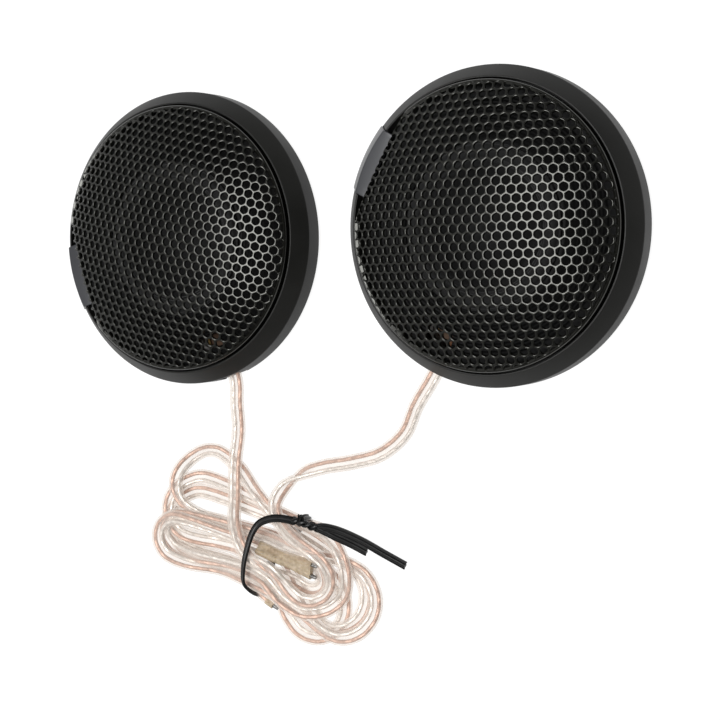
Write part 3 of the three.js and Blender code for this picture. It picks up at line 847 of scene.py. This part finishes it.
def adhesive_pad(side):
    outline = fillet([(0, 0), (PAD_R, 0), (PAD_R, PAD_THICK), (0, PAD_THICK)], [0, 0.2, 0.2, 0], 5)
    obj = piece(f"{side}_foam_pad", lathe(outline, RING_SEGMENTS), "pad_foam")
    settle(obj, side, "housings", "adhesive_pad")


def cover_screw(side, number, angle):
    low = COVER_UNDER_Z - 0.1
    outline = fillet([
        (0, low), (SCREW_HEAD_R * 0.8, low), (SCREW_HEAD_R, low + 0.25), (SCREW_HEAD_R, HEAD_SEAT_Z - GAP),
        (SCREW_SHANK_R, HEAD_SEAT_Z - GAP), (SCREW_SHANK_R, LEDGE_Z - 1.2), (0, LEDGE_Z - 0.8),
    ], [0, 0.15, 0.1, 0.05, 0.05, 0.05, 0], 3)
    obj = piece(f"{side}_screw_{number}", lathe(outline, SMALL_SEGMENTS), "screw_steel")
    slot = rounded_box((-1.0, -0.14, 0), (1.0, 0.14, low + 0.35), 0.06)
    carve(obj, [turned(slot, 20), turned(slot, 110)])
    turn = Matrix.Rotation(math.radians(angle), 4, "Z")
    obj.data.transform(turn @ Matrix.Translation((SCREW_CIRCLE_R * MM, 0, 0)))
    settle(obj, side, "housings", f"cover_screw_{number}")


BORE_ROOM = 0.12  # round the lead, in its grommet


def lead_grommet(side):
    half = NOTCH_WIDTH / 2 - GAP
    block = rounded_box((CAVITY_R, -half, RING_FOOT_Z), (OUTER_R - 0.2, half, NOTCH_TOP_Z - GAP), 0.35)
    obj = piece(f"{side}_grommet", turned(block, LEAD_ANGLE), "grommet_rubber")
    half_w, half_t = LEAD_WIDTH / 2 + BORE_ROOM, LEAD_THICK / 2 + BORE_ROOM
    low, high = (CAVITY_R - 1, -half_w, LEAD_EXIT_Z - half_t), (OUTER_R + 1, half_w, LEAD_EXIT_Z + half_t)
    carve(obj, [turned(rounded_box(low, high, 0.5), LEAD_ANGLE)])
    settle(obj, side, "housings", "lead_grommet")


# ---- leads ----
LEAD_FLOOR_Z = 0.72  # centreline of a lead that lies on the floor
CORE_OFFSET = 0.64
CORE_R = 0.31
STRANDS = 7
STRAND_LOBE = 0.13
STRAND_TWIST = 0.45  # radians for each millimetre
STEP = 0.5  # between the sections of a lead
FROST_LENGTH = {"left": 1.5, "right": 11.5}
TIP_LENGTH = 1.3
TIP_INSIDE = 0.3
TIP_TAPER = (1.05, 1.08, 1.05, 1.0, 0.97, 0.9, 0.7)

# From the tweeter to the hank, as in the CAD part.
FREE_ROUTE = {
    "left": [
        (-20.6, -28.5), (-20.6, -32), (-20.8, -35.4), (-20.9, -39.5), (-20.8, -44), (-19.6, -49),
        (-17.2, -53.2),
    ],
    "right": [
        (13.9, -28.4), (11.4, -32.9), (7, -36.3), (1.4, -37.9), (-4.2, -38.9), (-8.2, -40.2),
        (-11.2, -42.3), (-12.2, -45.2), (-11, -48.2),
    ],
}
# Each loop of the hank, in the order the lead runs: the middle and radius of its round end, the
# point at the waist that it comes back to, and its turn in the pile, from the bottom up.
HANK_LOOPS = {
    "left": [
        ((-6.4, -56.6), 2.9, (-9.0, -50.6), 6),
        ((-26.6, -42.3), 5.6, (-13.4, -53.6), 6),
        ((-2.0, -60.3), 5.6, (-8.2, -50.2), 3),
        ((-29.0, -49.2), 5.2, (-15.2, -58.4), 2),
        ((-6.4, -61.9), 6.0, (-10.0, -52.4), 1),
        ((-31.6, -51.6), 3.2, (-16.5, -59.6), 2),
    ],
    "right": [
        ((-5.6, -56.9), 4.3, (-12.6, -55.6), 10),
        ((-28.4, -46.8), 5.4, (-7.6, -48.6), 4),
        ((-5.8, -56.4), 6.8, (-14.4, -57.6), 9),
        ((-31.0, -51.0), 3.2, (-10.4, -52.0), 7),
        ((-0.6, -60.8), 6.3, (-14.4, -59.4), 5),
        ((-31.6, -51.8), 3.6, (-12.6, -53.4), 8),
    ],
}
LEAD_TURN = {"left": 1, "right": -1}  # anticlockwise or clockwise round the hank
FREE_END = {"left": [(-14.9, -60.6), (-12.8, -62.0)], "right": [(-8.6, -54.2), (-4.2, -55.6)]}
END_TURN = {"left": 3.5, "right": 8}
# How far each core moves out where the two jackets part, at the cut end.
END_SPLIT = {"left": 0.0, "right": 0.45}
SPLIT_LENGTH = 7.0
LEAD_PILE_TURN = 11  # the free runs lie on top
# Where the flat lead takes its half twist, along it.
HALF_TWIST_AT = {"left": 34.0, "right": 33.0}
TWIST_RUN = 12.0
# In the hank the lead also rocks: each sway's angle, its length over 2 pi, and its share of the phase.
SWAYS = ((0.34, 5.3, 1), (0.26, 3.1, 2))
SWAY_PHASE = {"left": 0.9, "right": 2.3}
SWAY_FROM = 45
SWAY_RISE = 15


def smooth_route(points, step=STEP):
    """A centripetal Catmull-Rom curve through the points, in even steps."""
    p = np.asarray(points, float)
    p = np.vstack([2 * p[0] - p[1], p, 2 * p[-1] - p[-2]])
    out = []
    for a, b, c, d in zip(p, p[1:], p[2:], p[3:]):
        t1 = max(np.linalg.norm(b - a), 1e-6) ** 0.5
        t2 = t1 + max(np.linalg.norm(c - b), 1e-6) ** 0.5
        t3 = t2 + max(np.linalg.norm(d - c), 1e-6) ** 0.5
        t = np.linspace(t1, t2, 24, endpoint=False)[:, None]
        ab = (t1 - t) / t1 * a + t / t1 * b
        bc = (t2 - t) / (t2 - t1) * b + (t - t1) / (t2 - t1) * c
        cd = (t3 - t) / (t3 - t2) * c + (t - t2) / (t3 - t2) * d
        abc = (t2 - t) / t2 * ab + t / t2 * bc
        bcd = (t3 - t) / (t3 - t1) * bc + (t - t1) / (t3 - t1) * cd
        out.append((t2 - t) / (t2 - t1) * abc + (t - t1) / (t2 - t1) * bcd)
    out = np.vstack(out + [p[-2][None]])
    along = np.concatenate([[0], np.cumsum(np.linalg.norm(np.diff(out, axis=0), axis=1))])
    even = np.linspace(0, along[-1], max(2, round(along[-1] / step) + 1))
    return np.column_stack([np.interp(even, along, out[:, k]) for k in range(out.shape[1])])


def round_end(start, end, centre, radius, turn):
    """The points of a belt's run round a circle, between its two tangents from start and to end."""
    centre = np.asarray(centre, float)

    def tangent(point, way):
        away = np.asarray(point) - centre
        return math.atan2(away[1], away[0]) + way * math.acos(min(1.0, radius / np.linalg.norm(away)))

    first = tangent(start, turn)
    sweep = (tangent(end, -turn) - first) * turn % (2 * math.pi)
    count = max(4, math.ceil(sweep / math.radians(36)))
    angles = [first + turn * sweep * k / count for k in range(count + 1)]
    return [centre + radius * np.array([math.cos(a), math.sin(a)]) for a in angles]


def exit_point(side, radius):
    angle = math.radians(LEAD_ANGLE)
    point = places[side] @ Vector((radius * math.cos(angle) * MM, radius * math.sin(angle) * MM, 0))
    return (point.x / MM, point.y / MM)


def flat_route(side):
    """The lead's plan, with each point's turn in the pile."""
    points = [exit_point(side, CAVITY_R + GAP), exit_point(side, OUTER_R + 1)] + FREE_ROUTE[side]
    turns = [LEAD_PILE_TURN] * len(points)
    here = points[-1]
    for centre, radius, back_at, turn in HANK_LOOPS[side]:
        run = round_end(here, back_at, centre, radius, LEAD_TURN[side])
        points += run + [back_at]
        turns += [turn] * (len(run) + 1)
        here = back_at
    points += FREE_END[side]
    turns += [END_TURN[side]] * len(FREE_END[side])
    plan = smooth_route([(*p, t) for p, t in zip(points, turns)])
    return plan[:, :2], plan[:, 2]


def blurred(values, reach):
    kernel = np.exp(-0.5 * (np.arange(-3 * reach, 3 * reach + 1) / reach) ** 2)
    kernel /= kernel.sum()
    padded = np.pad(values, 3 * reach, mode="edge")
    return np.convolve(padded, kernel, mode="valid")


def widest(values, reach):
    padded = np.pad(values, reach, mode="edge")
    return np.max([padded[k : k + len(values)] for k in range(2 * reach + 1)], axis=0)


def eased(t):
    t = np.clip(t, 0, 1)
    return t * t * (3 - 2 * t)


FALL_FROM = 5.5
FALL_RUN = 9.0


def exit_height(count):
    """A lead leaves its grommet above the floor and settles onto it."""
    fall = eased((np.arange(count) * STEP - FALL_FROM) / FALL_RUN)
    return LEAD_EXIT_Z + (LEAD_FLOOR_Z - LEAD_EXIT_Z) * fall


PILE_PITCH = 1.22  # from one layer of the pile to the next
PILE_REACH = 2.3  # plan distance at which one run starts to rest on another
PILE_LIMIT_Z = 5.6
PILE_ROUNDS = 10
NEAR_SECTIONS = 12  # a run doesn't rest on its own next sections


def pile_up(plans):
    """Lays the runs one on another in their turn and returns each point's height."""
    sides = list(plans)
    counts = [len(plans[side][0]) for side in sides]
    ends = np.cumsum(counts)
    spans = [slice(end - count, end) for end, count in zip(ends, counts)]
    xy = np.vstack([plans[side][0] for side in sides])
    turn = np.concatenate([plans[side][1] for side in sides])
    cord = np.repeat(np.arange(len(sides)), counts)
    place = np.concatenate([np.arange(count) for count in counts])
    floor = np.concatenate([exit_height(count) for count in counts])
    z = floor.copy()
    distance = np.linalg.norm(xy[:, None] - xy[None], axis=2)
    apart = (cord[:, None] != cord[None]) | (np.abs(place[:, None] - place[None]) > NEAR_SECTIONS)
    close = (distance < PILE_REACH) & apart
    order = turn + 1e-5 * place[::-1]
    lift = PILE_PITCH * np.sqrt(np.clip(1 - (distance / PILE_REACH) ** 2, 0, 1))
    for _ in range(PILE_ROUNDS):
        below = close & (order[None] < order[:, None])
        need = np.where(below, z[None] + lift, 0).max(axis=1)
        raised = np.maximum(floor, need)
        for span in spans:
            raised[span] = np.maximum(blurred(widest(raised[span], 3), 4), floor[span])
        raised = np.minimum(raised, PILE_LIMIT_Z)
        z = 0.5 * z + 0.5 * raised
    return {side: z[span] for side, span in zip(sides, spans)}


def lead_roll(side, count):
    """How far the flat lead is turned about its own line at each section, in radians."""
    along = np.arange(count) * STEP
    roll = np.full(count, math.pi)
    roll = roll + math.pi * eased((along - HALF_TWIST_AT[side]) / TWIST_RUN)
    in_hank = np.clip((along - SWAY_FROM) / SWAY_RISE, 0, 1)
    sway = sum(angle * np.sin(along / run + share * SWAY_PHASE[side]) for angle, run, share in SWAYS)
    return roll + in_hank * sway


def tangents(path):
    tangent = np.gradient(path, axis=0)
    return tangent / np.linalg.norm(tangent, axis=1)[:, None]


def lead_frames(path, roll):
    tangent = tangents(path)
    side_way = np.cross([0, 0, 1], tangent)
    side_way /= np.linalg.norm(side_way, axis=1)[:, None]
    up = np.cross(tangent, side_way)
    c, s = np.cos(roll)[:, None], np.sin(roll)[:, None]
    return c * side_way + s * up, c * up - s * side_way, tangent


def sweep(path, across, up, sections):
    """A closed tube along a path, with a section for each step."""
    vertices = []
    for point, a, u, outline in zip(path, across, up, sections):
        vertices += [tuple(point + x * a + y * u) for x, y in outline]
    return vertices, ring_skin(len(path), len(sections[0]))


def twin_section(split=0.0):
    """Two round jackets side by side, joined by a web."""
    radius = LEAD_THICK / 2
    offset = LEAD_WIDTH / 2 - radius + split
    reach = math.pi - math.radians(52)
    right = [(offset + radius * math.cos(a), radius * math.sin(a)) for a in np.linspace(-reach, reach, 13)]
    return right + [(-x, -y) for x, y in right]


def strand_section(twist, scale=1.0):
    """A bundle of strands, as a lobed circle."""
    angles = np.linspace(0, 2 * math.pi, 4 * STRANDS, endpoint=False)
    radii = [CORE_R * (1 + STRAND_LOBE * math.cos(STRANDS * (a - twist))) * scale for a in angles]
    return [(r * math.cos(a), r * math.sin(a)) for r, a in zip(radii, angles)]


def lead(side, plan, height):
    roll = lead_roll(side, len(plan))
    lowest = LEAD_THICK / 2 + np.abs(np.sin(roll)) * (LEAD_WIDTH - LEAD_THICK) / 2
    path = np.column_stack([plan, np.maximum(height, blurred(widest(lowest, 4), 3))])
    across, up, tangent = lead_frames(path, roll)
    to_end = np.clip(1 - np.arange(len(path))[::-1] * STEP / SPLIT_LENGTH, 0, 1)
    split = END_SPLIT[side] * to_end**2
    shape = sweep(path, across, up, [twin_section(s) for s in split])
    jacket = piece(f"{side}_jacket", shape, "clear_cord", sharp=80)
    jacket.data.materials.append(materials["frosted_jacket"])
    cores = []
    outside = -LEAD_TURN[side]  # the copper core is on the outside of the hank's loops
    for name, way in (("copper_core", outside), ("tinned_core", -outside)):
        line = path + across * (CORE_OFFSET + split[:, None]) * way
        sections = [strand_section(STRAND_TWIST * k * STEP) for k in range(len(line))]
        core = piece(f"{side}_{name}", sweep(line, across, up, sections), name, 80)
        count = len(TIP_TAPER)
        reaches = np.linspace(0, TIP_LENGTH, count) - TIP_INSIDE
        tip_line = [line[-1] + tangent[-1] * reach for reach in reaches]
        sections = [strand_section(0.3 * k, scale) for k, scale in enumerate(TIP_TAPER)]
        shape = sweep(tip_line, [across[-1]] * count, [up[-1]] * count, sections)
        tip = piece(f"{side}_{name}_tip", shape, "solder_tip", 50)
        cores += [core, tip]
    for obj in [jacket] + cores:
        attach(obj, "housings")
    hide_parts(f"{side}_lead", "lead_hank")
    mark_frost(jacket, side, len(path))


def mark_frost(jacket, side, sections):
    """The faces of the last stretch take the frosted jacket; faces run in the order of the sections."""
    count = len(twin_section())
    first = int(sections - 1 - FROST_LENGTH[side] / STEP) * count
    for face in jacket.data.polygons:
        if first <= face.index:
            face.material_index = 1


# ---- twist tie ----
# The tie's line round the hank, then each tail's line on from the knot.
TIE_LOOP = [
    (-6.6, -47.6, 5.2), (-6.5, -47.3, 3.0), (-7.2, -47.9, 0.45), (-10.6, -50.4, 0.3), (-14.6, -53.9, 0.3),
    (-15.7, -58.6, 0.35), (-16.1, -60.7, 2.4), (-16.5, -60.2, 4.6), (-17.1, -58.6, 6.1), (-16.9, -56.0, 6.5),
    (-16.0, -52.6, 6.6), (-14.9, -49.8, 6.5), (-13.7, -48.2, 6.3), (-12.0, -47.4, 6.2), (-10.2, -47.1, 6.1),
    (-8.4, -47.2, 6.0), (-7.0, -47.4, 6.0),
]
TIE_TAILS = [
    [(-1.4, -48.1, 6.2), (1.5, -48.4, 6.4), (6.4, -49.9, 6.7), (10.4, -51.6, 6.9), (14.4, -53.3, 7.0)],
    [(-1.4, -48.6, 6.1), (1.2, -49.55, 6.2), (4.2, -50.5, 6.4), (7.1, -51.65, 6.5)],
]
KNOT_START = (-7.2, -47.3, 6.0)
KNOT_END = (-2.4, -48.3, 6.1)
KNOT_STUB = [(-5.6, -47.4, 6.2), (-5.2, -46.8, 6.5), (-5.0, -46.3, 6.8)]
KNOT_STUB_WIDTH = 1.2
KNOT_STEPS = 20
KNOT_R = 0.3
KNOT_TURN = 0.62  # radians for each step


def tie_section(width):
    """A flat strip with its wire raised along the middle and a thin bead on each edge."""
    half = width / 2
    right = [
        (0, 0.3), (0.1, 0.28), (0.2, 0.2), (0.3, 0.06),
        (half - 0.24, 0.06), (half - 0.17, 0.2), (half - 0.05, 0.2), (half, 0.05),
    ]
    top = [(-x, y) for x, y in right[:0:-1]] + right
    return top + [(x, -y) for x, y in reversed(top)]


def strip(points, start_up, width=TIE_WIDTH, roll=lambda t: 0 * t):
    """A strip along a line, its face turned smoothly on from the first section."""
    path = smooth_route(points, 0.25)
    tangent = tangents(path)
    up = np.array(start_up, float)
    ups = []
    for t in tangent:
        up = up - t * (up @ t)
        up /= np.linalg.norm(up)
        ups.append(up)
    ups = np.array(ups)
    across = np.cross(ups, tangent)
    turn = roll(np.linspace(0, 1, len(path)))[:, None]
    c, s = np.cos(turn), np.sin(turn)
    across, ups = c * across + s * ups, c * ups - s * across
    return sweep(path, across, ups, [tie_section(width)] * len(path))


def twist_tie():
    parts = [strip(TIE_LOOP, (0.7, 0.7, 0.1), roll=lambda t: 0.15 * np.sin(9 * t))]
    start, end = np.array(KNOT_START), np.array(KNOT_END)
    line = end - start
    upward = np.array((0, 0, 1.0))
    side_way = np.cross(line, upward)
    side_way /= np.linalg.norm(side_way)
    for way in (1, -1):
        turns = []
        for k in range(KNOT_STEPS + 1):
            angle = k * KNOT_TURN
            away = math.cos(angle) * side_way + math.sin(angle) * upward
            turns.append(start + line * k / KNOT_STEPS + way * KNOT_R * away)
        parts.append(strip(turns, upward, 1.0, lambda t: 5.0 * t))
    parts.append(strip(KNOT_STUB, (0.3, 0, 1), KNOT_STUB_WIDTH))
    for tail in TIE_TAILS:
        parts.append(strip([KNOT_END] + tail, (0, 0, 1)))
    for number, shape in enumerate(parts):
        obj = piece(f"tie_{number}", shape, "tie_vinyl", sharp=50)
        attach(obj, "housings")
        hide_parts("twist_tie")


# ---- CAD nodes that stay as they are, inside the tweeters ----
KEPT_NODES = {
    "voice_coil_former": "former_paper",
    "voice_coil": "coil_copper",
    "pole_plate": "plated_steel",
    "magnet": "magnet_metal",
    "yoke_cup": "plated_steel",
    "terminal_board": "board_laminate",
    "positive_terminal": "terminal_brass",
    "negative_terminal": "terminal_brass",
    "positive_inner_lead": "inner_copper_painted_shade",
    "negative_inner_lead": "inner_tinned_painted_shade",
    "high_pass_capacitor": "capacitor_case",
}


def dress_kept_nodes():
    for side in SIDES:
        for node, material in KEPT_NODES.items():
            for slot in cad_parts[f"{side}_{node}"].material_slots:
                slot.material = materials[material]


# ---- floor and light ----
FLOOR_SIZE = 6.0
FLOOR_DROP = 0.0002


def add_floor():
    half = FLOOR_SIZE / 2
    mesh = bpy.data.meshes.new("floor")
    corners = [(-half, -half, 0), (half, -half, 0), (half, half, 0), (-half, half, 0)]
    mesh.from_pydata(corners, [], [(0, 1, 2, 3)])
    floor = add_object("floor", mesh)
    floor.location.z = -FLOOR_DROP
    s = Shader(
        "floor_paper", Base_Color=(0.12, 0.12, 0.12, 1), Roughness=0.9, Specular_IOR_Level=0.0,
        Emission_Color=(1, 1, 1, 1), Emission_Strength=0.95,
    )
    s.bump(s.noise(500.0), 0.05, 0.1)
    mesh.materials.append(s.material)


SOFTBOX_PLACE = (0.015, 0.01, 0.9)
SOFTBOX_SIZE = (0.46, 0.74)
SOFTBOX_POWER = 10.5
WORLD_LOW = 0.05  # the studio's dark side and its bright side
WORLD_HIGH = 0.52
BRIGHT_SIDE = (-0.85, 0.1, 0.5)
BRIGHT_FROM = 0.1  # how far a direction has to lean that way before it brightens


def add_lights():
    data = bpy.data.lights.new("overhead_softbox", "AREA")
    data.shape = "RECTANGLE"
    data.size, data.size_y = SOFTBOX_SIZE
    data.energy = SOFTBOX_POWER
    light = add_object("overhead_softbox", data)
    light.location = SOFTBOX_PLACE
    light.rotation_euler = Vector((0, 0, -1)).to_track_quat("-Z", "Y").to_euler()
    world = bpy.data.worlds.new("studio")
    world.use_nodes = True
    nodes, links = world.node_tree.nodes, world.node_tree.links
    facing = nodes.new("ShaderNodeVectorMath")
    facing.operation = "DOT_PRODUCT"
    links.new(nodes.new("ShaderNodeTexCoord").outputs["Generated"], facing.inputs[0])
    facing.inputs[1].default_value = BRIGHT_SIDE
    rise = nodes.new("ShaderNodeMapRange")
    links.new(facing.outputs["Value"], rise.inputs["Value"])
    rise.inputs["From Min"].default_value = BRIGHT_FROM
    rise.inputs["From Max"].default_value = 1.0
    rise.inputs["To Min"].default_value = WORLD_LOW
    rise.inputs["To Max"].default_value = WORLD_HIGH
    nodes["Background"].inputs["Color"].default_value = (1, 1, 1, 1)
    links.new(rise.outputs["Result"], nodes["Background"].inputs["Strength"])
    bpy.context.scene.world = world
    bpy.context.scene.view_settings.view_transform = "Standard"


plans = {side: flat_route(side) for side in SIDES}
heights = pile_up(plans)
for side in SIDES:
    lead(side, plans[side][0], heights[side])
twist_tie()
for side in SIDES:
    bezel_ring(side)
    badge_plate(side)
    grille(side)
    faceplate(side)
    dome_diaphragm(side)
    surround_roll(side)
    back_cover(side)
    adhesive_pad(side)
    for number, angle in enumerate(SCREW_ANGLES, 1):
        cover_screw(side, number, angle)
    lead_grommet(side)
dress_kept_nodes()
add_floor()
add_lights()
